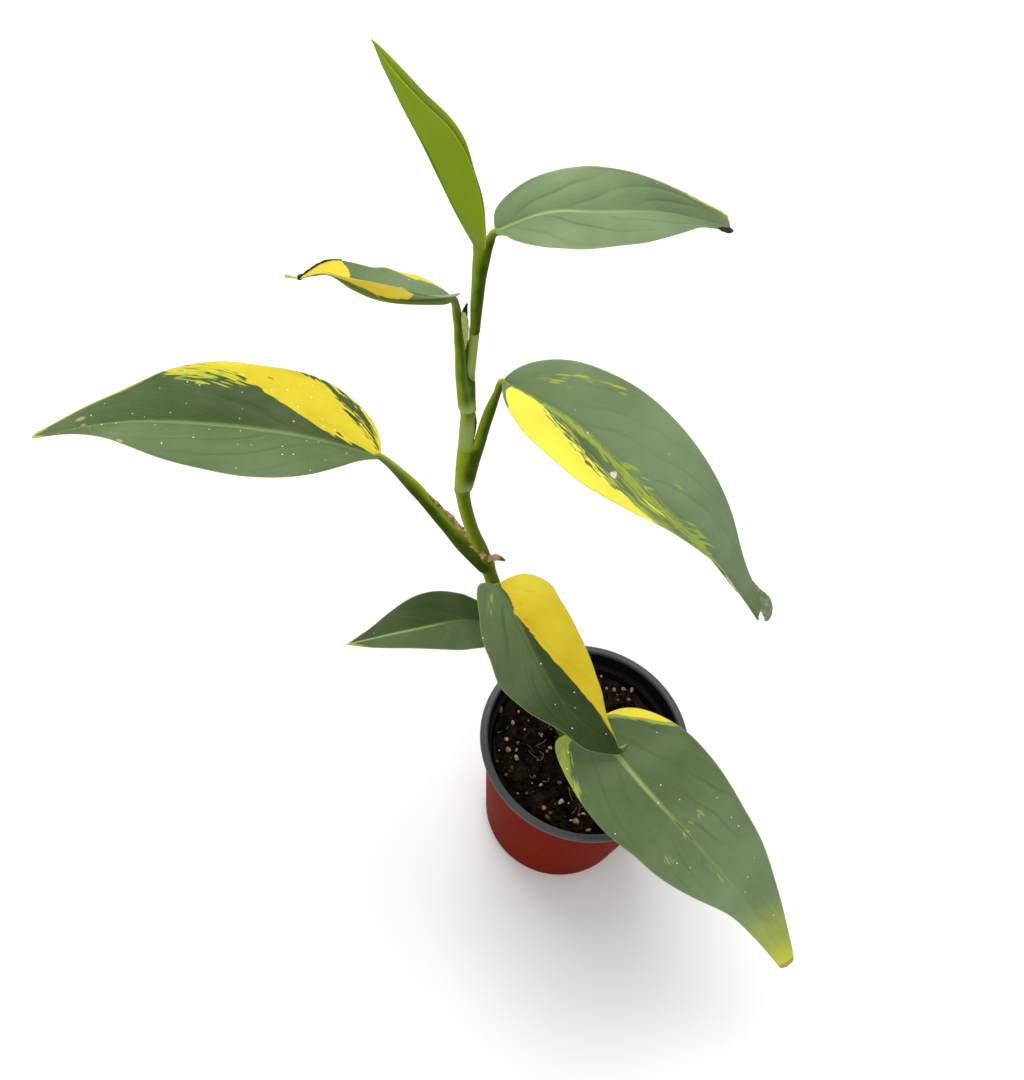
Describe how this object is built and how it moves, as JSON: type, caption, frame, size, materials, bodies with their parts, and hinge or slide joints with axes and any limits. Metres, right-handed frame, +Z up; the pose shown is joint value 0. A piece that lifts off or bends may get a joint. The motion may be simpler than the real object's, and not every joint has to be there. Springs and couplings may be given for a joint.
{
  "type": "potted coriaceus scindapsus",
  "caption": "Upright climbing aroid with leathery, yellow-variegated lance-shaped leaves on sheathed stalks, in a round tapered nursery pot of dark potting mix.",
  "frame": {"origin": "centre of the pot's flat base", "axes": "+Z up along the pot's axis, the plant leans towards -X and the picture's camera stands at -Y"},
  "size_m": [0.4001, 0.1853, 0.4501],
  "materials": {
    "pot": "satin two-tone, red outside and black inside",
    "soil": "moist peat mix with bark and perlite",
    "stem": "smooth fleshy green",
    "leaf": "leathery green with yellow variegation",
    "new_leaf": "smooth light green"
  },
  "bodies": {
    "root": {"pot": "pot", "soil": "soil", "stem": "stem", "leaf_1": "leaf", "leaf_2": "leaf", "leaf_3": "leaf", "leaf_4": "leaf", "leaf_5": "leaf", "leaf_6": "leaf", "leaf_7": "leaf", "leaf_8": "new_leaf"}
  },
  "joints": []
}
